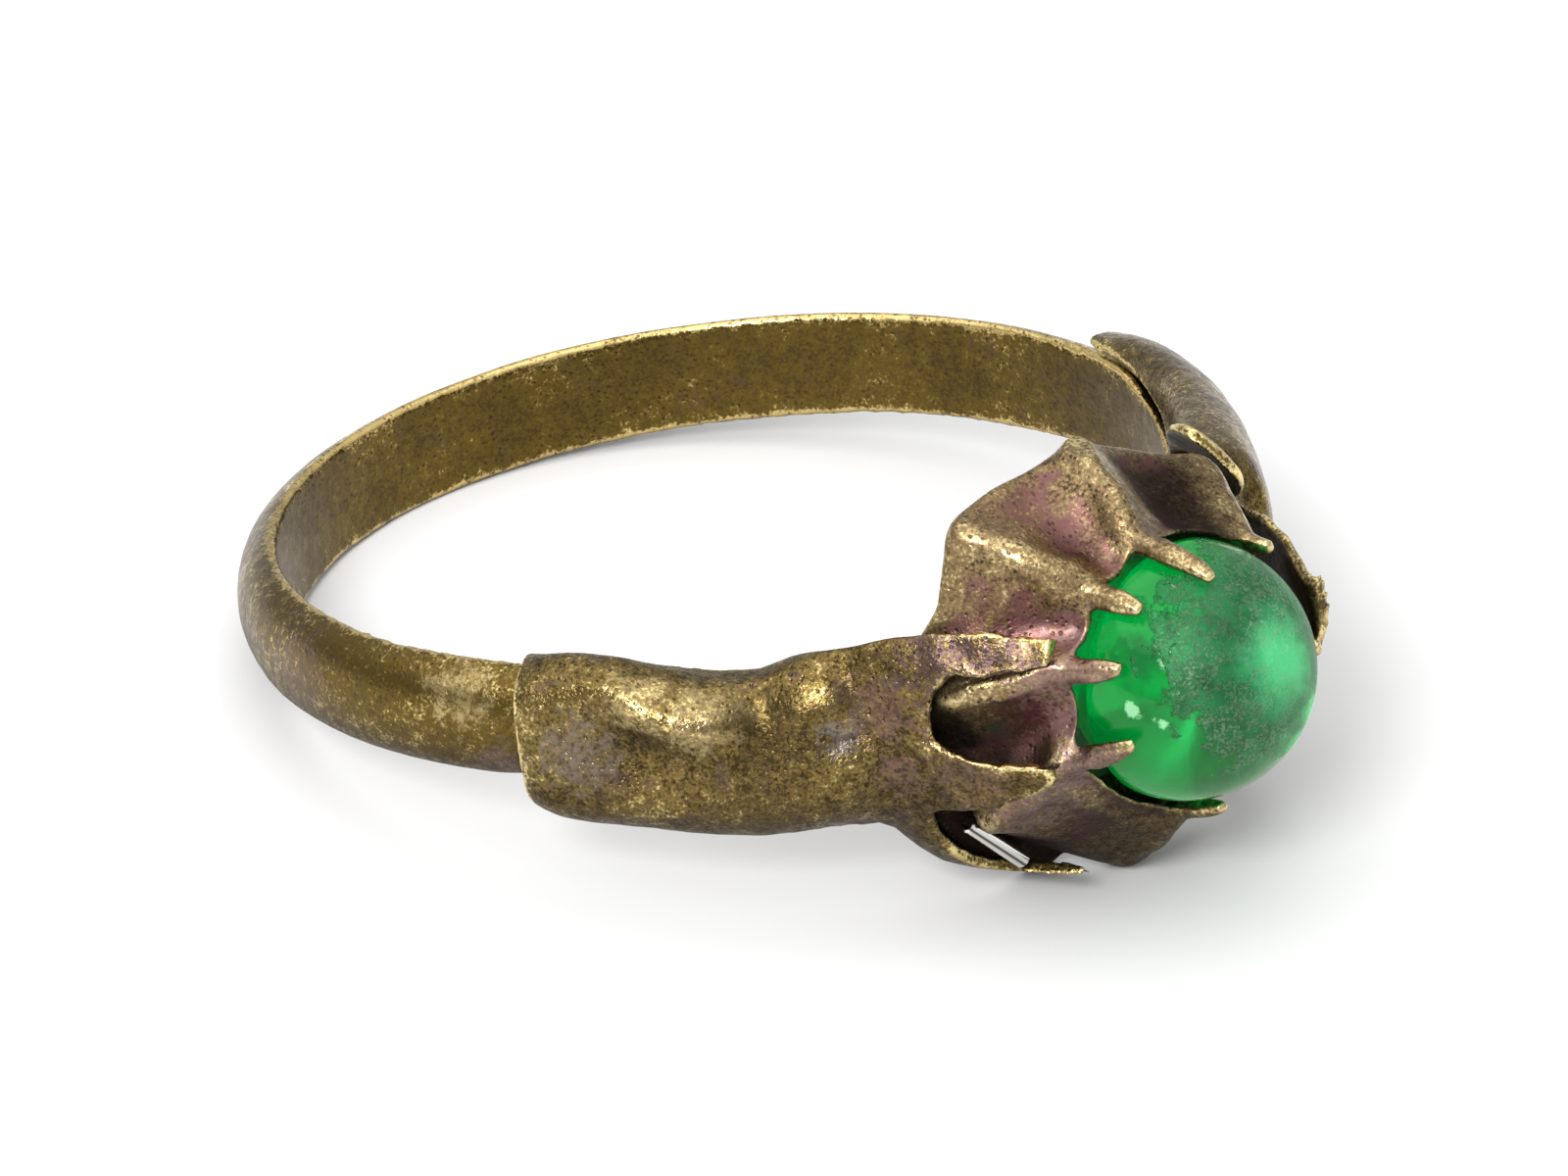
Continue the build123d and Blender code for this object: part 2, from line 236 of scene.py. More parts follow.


# Stores how raised each place is and how much painted shade it gets, sets the mesh back to
# metres and makes its piece.
def finishCopy(mesh, node, material, tone=0.0, shade=0.0):
    fine = standOut(mesh, marksAndShade["fineRounds"])
    wide = standOut(mesh, marksAndShade["wideRounds"])
    # painted shade on the places that face down
    under = smooth(*marksAndShade["facingDown"], -normals(mesh)[:, 2])
    relief = wide / (marksAndShade["wideSpreads"] * wide.std()) + tone
    storeValue(mesh, "raised", np.clip(fine / (marksAndShade["fineSpreads"] * fine.std()), -1, 1))
    storeValue(mesh, "relief", np.clip(relief, -1, 1))
    storeValue(mesh, "shade", np.clip(shade + marksAndShade["undersideShade"] * under, 0, 1))
    low, high = np.array(cadBox) / mm
    margin = marksAndShade["boxMargin"]
    setPlaces(mesh, np.clip(places(mesh), low + margin, high - margin) * mm)
    mesh.materials.clear()
    mesh.materials.append(material)
    mesh.shade_smooth()
    made = bpy.data.objects.new(node + "Aged", mesh)
    scene.collection.objects.link(made)
    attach(made, "root")
    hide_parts(node)
    print(node, len(mesh.vertices), "points")


# Small helpers that build node trees.
def addNode(tree, kind, **settings):
    node = tree.nodes.new(kind)
    for name, value in settings.items():
        setattr(node, name, value)
    return node


def link(tree, source, target):
    tree.links.new(source, target)


# Sets a socket to a plain number or colour, or links another socket to it.
def feed(tree, socket, value):
    if isinstance(value, (int, float, tuple)):
        socket.default_value = value
    else:
        link(tree, value, socket)


def noiseOf(tree, vector, scale, detail, roughness, seed):
    made = addNode(tree, "ShaderNodeTexNoise", noise_dimensions="4D")
    link(tree, vector, made.inputs["Vector"])
    for name, number in (("W", seed), ("Scale", scale), ("Detail", detail),
                         ("Roughness", roughness)):
        made.inputs[name].default_value = number
    return made.outputs["Fac"]


def ramp(tree, value, low, high, lowTo=0.0, highTo=1.0):
    made = addNode(tree, "ShaderNodeMapRange", interpolation_type="SMOOTHSTEP")
    link(tree, value, made.inputs["Value"])
    for name, number in (("From Min", low), ("From Max", high), ("To Min", lowTo),
                         ("To Max", highTo)):
        made.inputs[name].default_value = number
    return made.outputs["Result"]


def sums(tree, operation, *values):
    made = addNode(tree, "ShaderNodeMath", operation=operation)
    for socket, value in zip(made.inputs, values):
        feed(tree, socket, value)
    return made.outputs[0]


def added(tree, total, *values):
    for value in values:
        total = sums(tree, "ADD", total, value)
    return total


def times(tree, first, second):
    return sums(tree, "MULTIPLY", first, second)


def mixed(tree, share, first, second):
    made = addNode(tree, "ShaderNodeMix", data_type="RGBA")
    for name, value in (("Factor", share), ("A", first), ("B", second)):
        feed(tree, made.inputs[name], value)
    return made.outputs["Result"]


def newMaterial(name):
    made = bpy.data.materials.new(name)
    made.use_nodes = True
    tree = made.node_tree
    spot = addNode(tree, "ShaderNodeTexCoord").outputs["Object"]
    return made, tree, tree.nodes["Principled BSDF"], spot


def addBump(tree, shader, height, look):
    bump = addNode(tree, "ShaderNodeBump")
    bump.inputs["Strength"].default_value = look["bump"]
    bump.inputs["Distance"].default_value = look["bumpDepth"] * mm
    link(tree, height, bump.inputs["Height"])
    link(tree, bump.outputs["Normal"], shader.inputs["Normal"])


# Distance from a patch's middle in radii of the patch, with a ragged noise added.
def patchDistance(tree, spot, patch, ragged):
    apart = addNode(tree, "ShaderNodeVectorMath", operation="DISTANCE")
    link(tree, spot, apart.inputs[0])
    apart.inputs[1].default_value = tuple(oneFromRing(patch["at"]))
    return added(tree, sums(tree, "DIVIDE", apart.outputs["Value"], patch["radius"] * mm), ragged)


# Grain of the aged alloy. A noise has its scale in cells a metre, detail, roughness and
# seed. A range has its two ends and, where they aren't 0 and 1, what these become.
alloy = {
    "fineNoise": (14000.0, 3.0, 0.7, 1.0),
    "middleNoise": (4200.0, 4.0, 0.65, 2.0),
    "wideNoise": (700.0, 3.0, 0.55, 3.0),
    "patchNoise": (1300.0, 5.0, 0.65, 4.0),
    "pitScale": 6500.0,
    "pitEdge": (0.1, 0.36, 1.0, 0.0),
    "pitPatches": (0.36, 0.54),
    "pitShare": 0.85,
    "pitDepth": 0.5,
    "goldFine": (0.34, 0.68, -0.5, 0.5),
    "goldMiddle": (0.34, 0.66, -0.35, 0.35),
    "goldWide": (0.35, 0.65, -0.2, 0.2),
    "goldRaised": 0.15,
    "goldEdges": (0.35, 0.95, 0.0, 0.7),
    "goldRelief": 0.35,
    "darkToAged": (-0.6, 0.45),
    "agedToFresh": (0.5, 1.25),
    "stainPatches": (0.42, 0.66, -0.4, 0.6),
    "stainHollows": (-0.7, 0.3, 1.0, -0.5),
    "stainOffGold": (0.2, 1.2, 0.0, 0.5),
    "stainShare": (0.1, 1.0, 0.0, 0.9),
    # painted shade: how much of the near black it mixes in and how much rougher it makes the
    # surface
    "shadeShare": 0.93,
    "shadeColour": (0.010, 0.007, 0.005, 1),
    "shadeRoughness": 0.35,
    "goldRoughness": (-0.5, 1.3, 0.46, 0.24),
    "fineRoughness": (0.3, 0.7, -0.05, 0.05),
    "fineHeight": 0.45,
    "middleHeight": 0.8,
    "raggedNoise": (3400.0, 6.0, 0.75, 9.0),
    "raggedEdge": (0.3, 0.7, -0.7, 0.7),
    "gritNoise": (9000.0, 3.0, 0.7, 12.0),
    "gritShare": (0.38, 0.6, 0.25, 1.0),
    "patchFade": (0.5, 1.2),
}
alloySockets = (
    ("INPUT", "NodeSocketColor", ("Fresh", "Aged", "Dark", "Tarnish")),
    ("INPUT", "NodeSocketFloat", ("Tarnish Amount", "Hollow Tarnish", "Wear", "Grain", "Polish")),
    ("OUTPUT", "NodeSocketColor", ("Color",)),
    ("OUTPUT", "NodeSocketFloat", ("Roughness", "Height")),
)


# Old copper alloy: fine gold and brown grain, tarnish in patches and hollows, wear on what
# stands out, and painted shade towards near black. The factors raised, relief and shade come
# from the mesh.
def makeAgedGroup():
    group = bpy.data.node_groups.new("agedAlloyAndShade", "ShaderNodeTree")
    for way, kind, names in alloySockets:
        for name in names:
            group.interface.new_socket(name, in_out=way, socket_type=kind)
    given = addNode(group, "NodeGroupInput").outputs
    out = addNode(group, "NodeGroupOutput").inputs
    spot = addNode(group, "ShaderNodeTexCoord").outputs["Object"]
    raised, relief, shade = (
        addNode(group, "ShaderNodeAttribute", attribute_name=name).outputs["Fac"]
        for name in ("raised", "relief", "shade"))
    fine, middle, wide, patch = (
        noiseOf(group, spot, *alloy[name])
        for name in ("fineNoise", "middleNoise", "wideNoise", "patchNoise"))
    pits = addNode(group, "ShaderNodeTexVoronoi", feature="F1")
    link(group, spot, pits.inputs["Vector"])
    pits.inputs["Scale"].default_value = alloy["pitScale"]
    pit = ramp(group, pits.outputs["Distance"], *alloy["pitEdge"])
    pit = times(group, pit, ramp(group, patch, *alloy["pitPatches"]))

    # gold shows where the grain is high, the place stands out, or the wide patches are worn
    gold = ramp(group, fine, *alloy["goldFine"])
    gold = added(group, gold, ramp(group, middle, *alloy["goldMiddle"]))
    gold = times(group, gold, given["Grain"])
    gold = added(group, gold, times(group, raised, alloy["goldRaised"]),
                 ramp(group, raised, *alloy["goldEdges"]),
                 times(group, relief, alloy["goldRelief"]),
                 ramp(group, wide, *alloy["goldWide"]), given["Wear"])

    hollows = ramp(group, relief, *alloy["stainHollows"])
    stain = ramp(group, patch, *alloy["stainPatches"])
    stain = added(group, stain, times(group, given["Hollow Tarnish"], hollows),
                  given["Tarnish Amount"])
    stain = sums(group, "SUBTRACT", stain, ramp(group, gold, *alloy["stainOffGold"]))

    colour = given["Dark"]
    for share, paint in (
        (ramp(group, gold, *alloy["darkToAged"]), given["Aged"]),
        (ramp(group, gold, *alloy["agedToFresh"]), given["Fresh"]),
        (ramp(group, stain, *alloy["stainShare"]), given["Tarnish"]),
        (times(group, pit, alloy["pitShare"]), given["Dark"]),
        # painted shade, mixed in by the mesh's shade
        (times(group, shade, alloy["shadeShare"]), alloy["shadeColour"]),
    ):
        colour = mixed(group, share, colour, paint)
    link(group, colour, out["Color"])

    rough = added(group, ramp(group, gold, *alloy["goldRoughness"]),
                  times(group, shade, alloy["shadeRoughness"]),
                  ramp(group, fine, *alloy["fineRoughness"]))
    link(group, sums(group, "SUBTRACT", rough, given["Polish"]), out["Roughness"])
    height = added(group, times(group, fine, alloy["fineHeight"]),
                   times(group, middle, alloy["middleHeight"]))
    height = sums(group, "SUBTRACT", height, times(group, pit, alloy["pitDepth"]))
    link(group, height, out["Height"])
    return group


agedGroup = makeAgedGroup()


# An aged alloy. A look's patches are round patches of colour in ring mm, each with its colour:
# mostly stains, and on the shoulders some painted highlights and painted shade. Its inside is
# the bright metal behind the stone.
def agedMaterial(name, look):
    made, tree, shader, spot = newMaterial(name)
    aged = addNode(tree, "ShaderNodeGroup", node_tree=agedGroup)
    for socket, value in look["group"].items():
        aged.inputs[socket].default_value = value
    colour = aged.outputs["Color"]
    ragged = ramp(tree, noiseOf(tree, spot, *alloy["raggedNoise"]), *alloy["raggedEdge"])
    grit = ramp(tree, noiseOf(tree, spot, *alloy["gritNoise"]), *alloy["gritShare"])
    for patch in look["patches"]:
        far = patchDistance(tree, spot, patch, ragged)
        share = times(tree, ramp(tree, far, *alloy["patchFade"], patch["share"], 0.0), grit)
        colour = mixed(tree, share, colour, patch["colour"])
    if "inside" in look:
        within = addNode(tree, "ShaderNodeAttribute", attribute_name="inside").outputs["Fac"]
        colour = mixed(tree, within, colour, look["inside"]["colour"])
    link(tree, colour, shader.inputs["Base Color"])
    link(tree, aged.outputs["Roughness"], shader.inputs["Roughness"])
    shader.inputs["Metallic"].default_value = 1.0
    addBump(tree, shader, aged.outputs["Height"], look)
    return made


# Hoop: aged brass strip with bright worn edges. Beyond the shoulders its upper edge rises
# and, towards the near side, its lower edge drops. Angles run round the finger.
hoopLook = {
    "group": {
        "Fresh": (0.83, 0.62, 0.25, 1),
        "Aged": (0.15, 0.1, 0.022, 1),
        "Dark": (0.085, 0.055, 0.02, 1),
        "Tarnish": (0.12, 0.075, 0.07, 1),
        "Tarnish Amount": -0.15,
        "Hollow Tarnish": 0.0,
        "Wear": 0.12,
        "Grain": 0.75,
        "Polish": 0.06,
    },
    "patches": [
        {"at": (-7.2, 7.4, -0.2), "radius": 3.4, "share": 0.5, "colour": (0.1, 0.072, 0.035, 1)},
        {"at": (-7.6, 6.6, 0.4), "radius": 1.1, "share": 0.5, "colour": (0.2, 0.13, 0.13, 1)},
        {"at": (-2.6, 9.6, 0.3), "radius": 1.0, "share": 0.45, "colour": (0.2, 0.13, 0.13, 1)},
        {"at": (2.2, 9.7, 0.9), "radius": 0.8, "share": 0.5, "colour": (0.8, 0.62, 0.3, 1)},
        {"at": (3.0, 9.5, -0.9), "radius": 0.7, "share": 0.5, "colour": (0.22, 0.15, 0.15, 1)},
    ],
    "bump": 0.5,
    "bumpDepth": 0.03,
    "grain": 0.085,
    "lump": {"size": 1.6, "height": 0.02, "seed": 1},
    "lumpSink": 0.012,
    "rise": {"up": (-0.3, 0.8), "angles": (60, 75), "by": 0.13},
    "fall": {"up": (0.3, -0.8), "angles": (62, 76, 140, 165), "by": 0.18},
}


def makeHoop():
    mesh = denseCopy("band", hoopLook["grain"])
    points = places(mesh)
    swell = lumps(points, hoopLook["lump"]) - hoopLook["lumpSink"]
    points += normals(mesh) * swell[:, None]
    ring = toRing(points * mm)
    angle = np.degrees(np.arctan2(ring[:, 1], ring[:, 0]))
    rise, fall = hoopLook["rise"], hoopLook["fall"]
    upper = smooth(*rise["up"], ring[:, 2]) * smooth(*rise["angles"], np.abs(angle))
    lower = smooth(*fall["up"], ring[:, 2]) * stretch(fall["angles"], angle)
    ring[:, 2] += rise["by"] * upper - fall["by"] * lower
    setPlaces(mesh, fromRing(ring) / mm)
    finishCopy(mesh, "band", agedMaterial("hoopBrass", hoopLook))


makeHoop()
print("hoop made")


# Cup and claws: gold and mauve grain on the ridges, wine-red tarnish in the flutes, and painted
# shade in the far flute, inside the slots and lightly on the underside. Levels, radii and sizes
# are in mm, shares are of the cup's height, and angles run round the stone in degrees from the
# top.
cupLook = {
    "group": {
        "Fresh": (0.76, 0.60, 0.30, 1),
        "Aged": (0.30, 0.21, 0.10, 1),
        "Dark": (0.065, 0.042, 0.028, 1),
        "Tarnish": (0.22, 0.105, 0.10, 1),
        "Tarnish Amount": 0.05,
        "Hollow Tarnish": 0.85,
        "Wear": 0.3,
        "Grain": 1.05,
        "Polish": 0.02,
    },
    "patches": [
        {"at": (11.2, 3.7, -0.55), "radius": 0.3, "share": 0.8, "colour": (0.05, 0.11, 0.06, 1)},
        {"at": (11.7, 3.3, -0.1), "radius": 0.65, "share": 0.85, "colour": (0.13, 0.035, 0.04, 1)},
        {"at": (11.9, 1.45, 2.7), "radius": 0.35, "share": 0.7, "colour": (0.05, 0.02, 0.02, 1)},
        {"at": (10.7, 2.2, 3.4), "radius": 0.8, "share": 0.5, "colour": (0.3, 0.16, 0.1, 1)},
        {"at": (12.6, 0.2, 2.5), "radius": 0.5, "share": 0.6, "colour": (0.2, 0.13, 0.12, 1)},
        {"at": (12.6, 2.9, 0.75), "radius": 1.1, "share": 0.8, "colour": (0.34, 0.21, 0.20, 1)},
        {"at": (12.8, 2.9, -1.0), "radius": 0.9, "share": 0.9, "colour": (0.23, 0.14, 0.145, 1)},
        {"at": (11.5, 3.4, -2.0), "radius": 1.0, "share": 0.85, "colour": (0.19, 0.12, 0.12, 1)},
        {"at": (11.4, 3.2, 1.9), "radius": 0.7, "share": 0.5, "colour": (0.17, 0.06, 0.065, 1)},
    ],
    "bump": 0.5,
    "bumpDepth": 0.035,
    "grain": 0.06,
    "lump": {"size": 0.9, "height": 0.03, "seed": 2},
    "lumpLevels": (12.8, 12.3),
    "lumpSink": 0.012,
    # each ridge: its angle at the floor and at the claw's tip, and how far the crest stands
    # out and the flute after it sinks in; then the claw: the rise of its tip over the
    # stone's girdle, how much farther it reaches and how far it bends, in degrees
    "ridges": [
        {"base": -2, "tip": 10, "crest": 0.16, "sink": 0.2, "rise": 25.8, "reach": 6.5, "bend": 0},
        {"base": 43, "tip": 40, "crest": 0.16, "sink": 0.24, "rise": 10.4, "reach": 6.5, "bend": 0},
        {"base": 88, "tip": 70, "crest": 0.1, "sink": 0.16, "rise": 10.8, "reach": 6.5, "bend": -4},
        {"base": 130, "tip": 106, "crest": 0.14, "sink": 0.1, "rise": 17, "reach": 5, "bend": -8},
        {"base": 180, "tip": 176, "crest": 0, "sink": 0.08, "rise": 15, "reach": 2, "bend": 0},
        {"base": 226, "tip": 225, "crest": 0, "sink": 0.08, "rise": 12.5, "reach": 2, "bend": 0},
        {"base": 268, "tip": 259, "crest": 0, "sink": 0.1, "rise": 11.9, "reach": 2, "bend": 0},
        {"base": 310, "tip": 306, "crest": 0.05, "sink": 0.42, "rise": 5.1, "reach": 2, "bend": 0},
    ],
    "ridgeShares": (0.02, 0.25, 0.8, 1.02),
    "crestSpread": 0.48,
    "crestTone": 0.7,
    "fluteTone": 1.1,
    "claw": {"halfAngle": 13, "root": -4, "bendPower": 1.5, "thinner": 0.1},
    "foot": {"shares": (0.35, 0.05), "radii": (3.2, 3.7), "out": 0.05},
    "bulge": {"angle": 36, "spread": 15, "out": 0.25},
    "rim": {"levels": (12.0, 12.5, 12.75, 13.0), "radius": 2.68, "pull": 0.6, "clawSpread": 9},
    # the foot shows through the upper slot, and a skirt closes the lower one
    "shownFoot": {"angles": (58, 76, 97, 112), "out": 0.2, "drop": 0.5},
    "skirt": {"angles": (95, 112, 160, 172), "drop": 0.75, "levels": (9.85, 9.6), "radius": 4.68},
    "pinRoom": {"angle": 136, "halfAngle": 24, "limit": 40, "radius": 4.35, "gap": 0.26,
                "level": 10, "halfLevel": 0.2, "slope": 1.6},
    # where the wall is evened out before it is shaped
    "even": {"levels": (11.9, 12.3, 12.7, 12.95), "radii": (2.75, 2.95), "wallBelow": 12.2,
             "wallShare": 0.5, "rounds": 14},
    "inside": {"colour": (0.42, 0.55, 0.42, 1), "wallFacing": (0.1, 0.5), "wallRadius": 3.9,
               "floorFacing": (0.4, 0.8), "floorRadius": 2.7, "levels": (12.25, 12.0),
               "above": 10.2},
    "tone": {"levels": (12.9, 12.5), "share": 0.45},
    # painted shade, by angles, levels and strength: the far flute under the flap, the inside of
    # the upper slot and of the lower one; the last row darkens the whole height of the wall
    "shades": [
        {"angles": (306, 324, 346, 357), "levels": (10.0, 10.8), "strength": 0.95},
        {"angles": (62, 76, 97, 104), "levels": (10.9, 10.3), "strength": 1.0},
        {"angles": (100, 110, 170, 180), "levels": (10.6, 10.0), "strength": 1.0},
        {"angles": (125, 150, 215, 235), "levels": (8.0, 9.0), "strength": 0.15},
    ],
    "shadeBelow": 12.8,
}
ridges = cupLook["ridges"]


def turned(angle, middle):
    return (angle - middle + 180) % 360 - 180


def cupShare(level):
    return (level - head["floorLevel"]) / (head["rimLevel"] - head["floorLevel"])


# How far the wall moves, and how much of a crest or, below 0, of a flute each place is.
def ridgeShares(level, angle, radius):
    share = cupShare(level)
    high = np.clip(share, 0, 1)
    middle = stretch(cupLook["ridgeShares"], share)
    move, tone = np.zeros(len(level)), np.zeros(len(level))
    for row, after in zip(ridges, ridges[1:] + ridges[:1]):
        crest = row["base"] + (row["tip"] - row["base"]) * high
        beyond = after["base"] + (after["tip"] - after["base"]) * high
        off = turned(angle, crest)
        gap = (beyond - crest) % 360
        top = hill(np.radians(off) * radius, cupLook["crestSpread"])
        within = (off > 0) & (off < gap)
        low = np.where(within, np.sin(np.pi * np.clip(off / gap, 0, 1)) ** 2, 0)
        move += middle * (row["crest"] * top - row["sink"] * low)
        tone += cupLook["crestTone"] * top - cupLook["fluteTone"] * low
    return move, tone


# Draws the claws farther over the stone, bends them and makes them thinner to their tips.
def stretchClaws(level, angle, radius):
    claw = cupLook["claw"]
    away = np.hypot(level - domeLevel, radius)
    rise = np.degrees(np.arctan2(level - domeLevel, radius))
    lifted = rise.copy()
    for row in ridges:
        off = turned(angle, row["tip"])
        along = np.clip((rise - claw["root"]) / (row["rise"] - claw["root"]), 0, 1)
        grown = (np.abs(off) < claw["halfAngle"]) * along
        lifted += grown * row["reach"]
        angle = angle + grown ** claw["bendPower"] * row["bend"] - grown * claw["thinner"] * off
    lifted = np.radians(lifted)
    return domeLevel + away * np.sin(lifted), angle, away * np.cos(lifted)


# Rounds the ridges, sinks the flutes, draws the rim to the stone and fills out the foot.
def flute(points):
    level, angle, radius = aroundStone(points)
    foot, bulge, rim = cupLook["foot"], cupLook["bulge"], cupLook["rim"]
    shownFoot, skirt, room = cupLook["shownFoot"], cupLook["skirt"], cupLook["pinRoom"]
    low = smooth(*foot["shares"], cupShare(level)) * smooth(*foot["radii"], radius)
    claws = sum(hill(turned(angle, row["tip"]), rim["clawSpread"]) for row in ridges)
    high = stretch(rim["levels"], level) * np.clip(1 - claws, 0, 1)
    pulled = high * rim["pull"] * np.maximum(radius - rim["radius"], 0)
    radius = radius + ridgeShares(level, angle, radius)[0] + foot["out"] * low - pulled
    radius += low * bulge["out"] * hill(turned(angle, bulge["angle"]), bulge["spread"])

    hidden = stretch(skirt["angles"], angle)
    level = level - skirt["drop"] * low * hidden
    radius += smooth(*skirt["levels"], level) * hidden * np.maximum(skirt["radius"] - radius, 0)
    shown = stretch(shownFoot["angles"], angle) * low
    radius += shownFoot["out"] * shown
    level -= shownFoot["drop"] * shown

    # the wall keeps behind the pin, a straight rod across the stone's axis at this radius
    off = np.clip(turned(angle, room["angle"]), -room["limit"], room["limit"])
    beyond = np.maximum(np.abs(level - room["level"]) - room["halfLevel"], 0)
    most = room["radius"] / np.cos(np.radians(off)) - room["gap"] + room["slope"] * beyond
    radius = np.where(np.abs(off) < room["halfAngle"], np.minimum(radius, most), radius)
    return fromStone(*stretchClaws(level, angle, radius))


def makeCup():
    mesh = denseCopy("setting", cupLook["grain"])
    level, angle, radius = aroundStone(places(mesh))
    even, inside, toning = cupLook["even"], cupLook["inside"], cupLook["tone"]
    joint = stretch(even["levels"], level) * smooth(*even["radii"], radius)
    wall = even["wallShare"] * (level < even["wallBelow"])
    relaxPlaces(mesh, np.maximum(joint, wall), even["rounds"])
    points = flute(places(mesh))
    swell = lumps(points, cupLook["lump"])
    swell = swell * smooth(*cupLook["lumpLevels"], aroundStone(points)[0]) - cupLook["lumpSink"]
    points += normals(mesh) * swell[:, None]
    setPlaces(mesh, points)

    level, angle, radius = aroundStone(points)
    outward, inward = facings(mesh, angle)
    wall = smooth(*inside["wallFacing"], inward) * (radius < inside["wallRadius"])
    floor = smooth(*inside["floorFacing"], outward) * (radius < inside["floorRadius"])
    within = np.maximum(wall, floor) * smooth(*inside["levels"], level)
    storeValue(mesh, "inside", within * (level > inside["above"]))
    tone = ridgeShares(level, angle, radius)[1] * smooth(*toning["levels"], level)
    # painted shade from the rows above
    shade = sum(row["strength"] * stretch(row["angles"], angle) * smooth(*row["levels"], level)
                for row in cupLook["shades"])
    finishCopy(mesh, "setting", agedMaterial("cupBrass", cupLook),
               toning["share"] * tone, shade * (level < cupLook["shadeBelow"]))


makeCup()
print("cup made")


# Shoulders: thin sheet, dented; worn bright where the dents leave a ridge, and there on the near
# sleeve also painted highlights; painted shade on the inside walls, in the near sleeve's saddle
# and by the far tongue. Heights and sizes are in mm. Angles run round the finger from the stone,
# but round the stone where the sheet is torn, in the slot and on the tongue.
sheetLook = {
    "group": {
        "Fresh": (0.92, 0.73, 0.32, 1),
        "Aged": (0.22, 0.152, 0.05, 1),
        "Dark": (0.05, 0.034, 0.013, 1),
        "Tarnish": (0.17, 0.105, 0.10, 1),
        "Tarnish Amount": 0.0,
        "Hollow Tarnish": 0.1,
        "Wear": 0.12,
        "Grain": 1.0,
        "Polish": 0.14,
    },
    "patches": [
        {"at": (7.8, 7.2, -1.7), "radius": 1.3, "share": 0.6, "colour": (0.085, 0.058, 0.028, 1)},
        {"at": (5.5, 9.1, -1.6), "radius": 1.1, "share": 0.5, "colour": (0.085, 0.058, 0.028, 1)},
        # painted shade by the far tongue
        {"at": (12.6, -4.2, 0.2), "radius": 1.5, "share": 0.75, "colour": (0.07, 0.05, 0.03, 1)},
        {"at": (4.9, 9.1, -0.2), "radius": 0.8, "share": 0.85, "colour": (0.22, 0.18, 0.145, 1)},
        {"at": (8.9, 5.8, -0.25), "radius": 0.45, "share": 0.9, "colour": (0.20, 0.18, 0.17, 1)},
        # painted highlights on the near sleeve's ridge
        {"at": (7.2, 7.7, 0.5), "radius": 0.8, "share": 0.3, "colour": (0.95, 0.76, 0.38, 1)},
        {"at": (6.1, 8.5, 0.9), "radius": 0.6, "share": 0.3, "colour": (0.95, 0.76, 0.38, 1)},
        # painted shade in the near sleeve's saddle
        {"at": (8.0, 7.0, 0.4), "radius": 0.9, "share": 0.6, "colour": (0.07, 0.05, 0.025, 1)},
        {"at": (9.6, 5.4, 0.3), "radius": 0.8, "share": 0.5, "colour": (0.24, 0.14, 0.13, 1)},
        {"at": (9.7, 5.0, -1.2), "radius": 0.5, "share": 0.45, "colour": (0.24, 0.14, 0.13, 1)},
        {"at": (10.7, 4.2, 1.1), "radius": 1.2, "share": 0.9, "colour": (0.12, 0.075, 0.078, 1)},
        {"at": (11.8, 3.7, 0.9), "radius": 0.8, "share": 0.75, "colour": (0.13, 0.08, 0.085, 1)},
        {"at": (10.9, 4.2, -1.0), "radius": 0.9, "share": 0.5, "colour": (0.2, 0.12, 0.11, 1)},
        {"at": (7.4, 8.0, 0.7), "radius": 0.5, "share": 0.5, "colour": (0.25, 0.16, 0.14, 1)},
    ],
    "bump": 0.75,
    "bumpDepth": 0.04,
    "grain": 0.052,
    "lump": {"size": 1.1, "height": 0.03, "seed": 3},
    "smallLump": {"size": 0.32, "height": 0.012, "seed": 6},
    # the waist between sleeve and cup, evened out before it is shaped
    "waist": {"angle": 32.5, "spread": 5.5, "rounds": 240},
    "dented": (9.7, 10.3),
    "sleeveRadius": 10.5,
    "upperSide": (0.2, 1.3),
    "lowerSide": (-0.3, -1.4),
    "torn": {
        "levels": (10.2, 11.0),
        "level": {"size": 0.75, "height": 0.16, "seed": 11},
        "angle": {"size": 0.7, "height": 3.0, "seed": 12},
        "smallAngle": {"size": 0.25, "height": 0.9, "seed": 14},
        "radius": {"size": 0.6, "height": 0.05, "seed": 13},
    },
    "slot": {"angle": 122, "spread": 7, "levels": (9.3, 9.9, 10.8, 11.4), "by": 5},
    "tongue": {"angles": (138, 146), "levels": (9.9, 10.9), "by": 0.5},
    # painted shade on the sheet's inside walls: how much a place faces the stone's axis, and the
    # levels over which it sets in
    "shadedFacing": (0.15, 0.6),
    "shadedLevels": (8.6, 9.4),
}

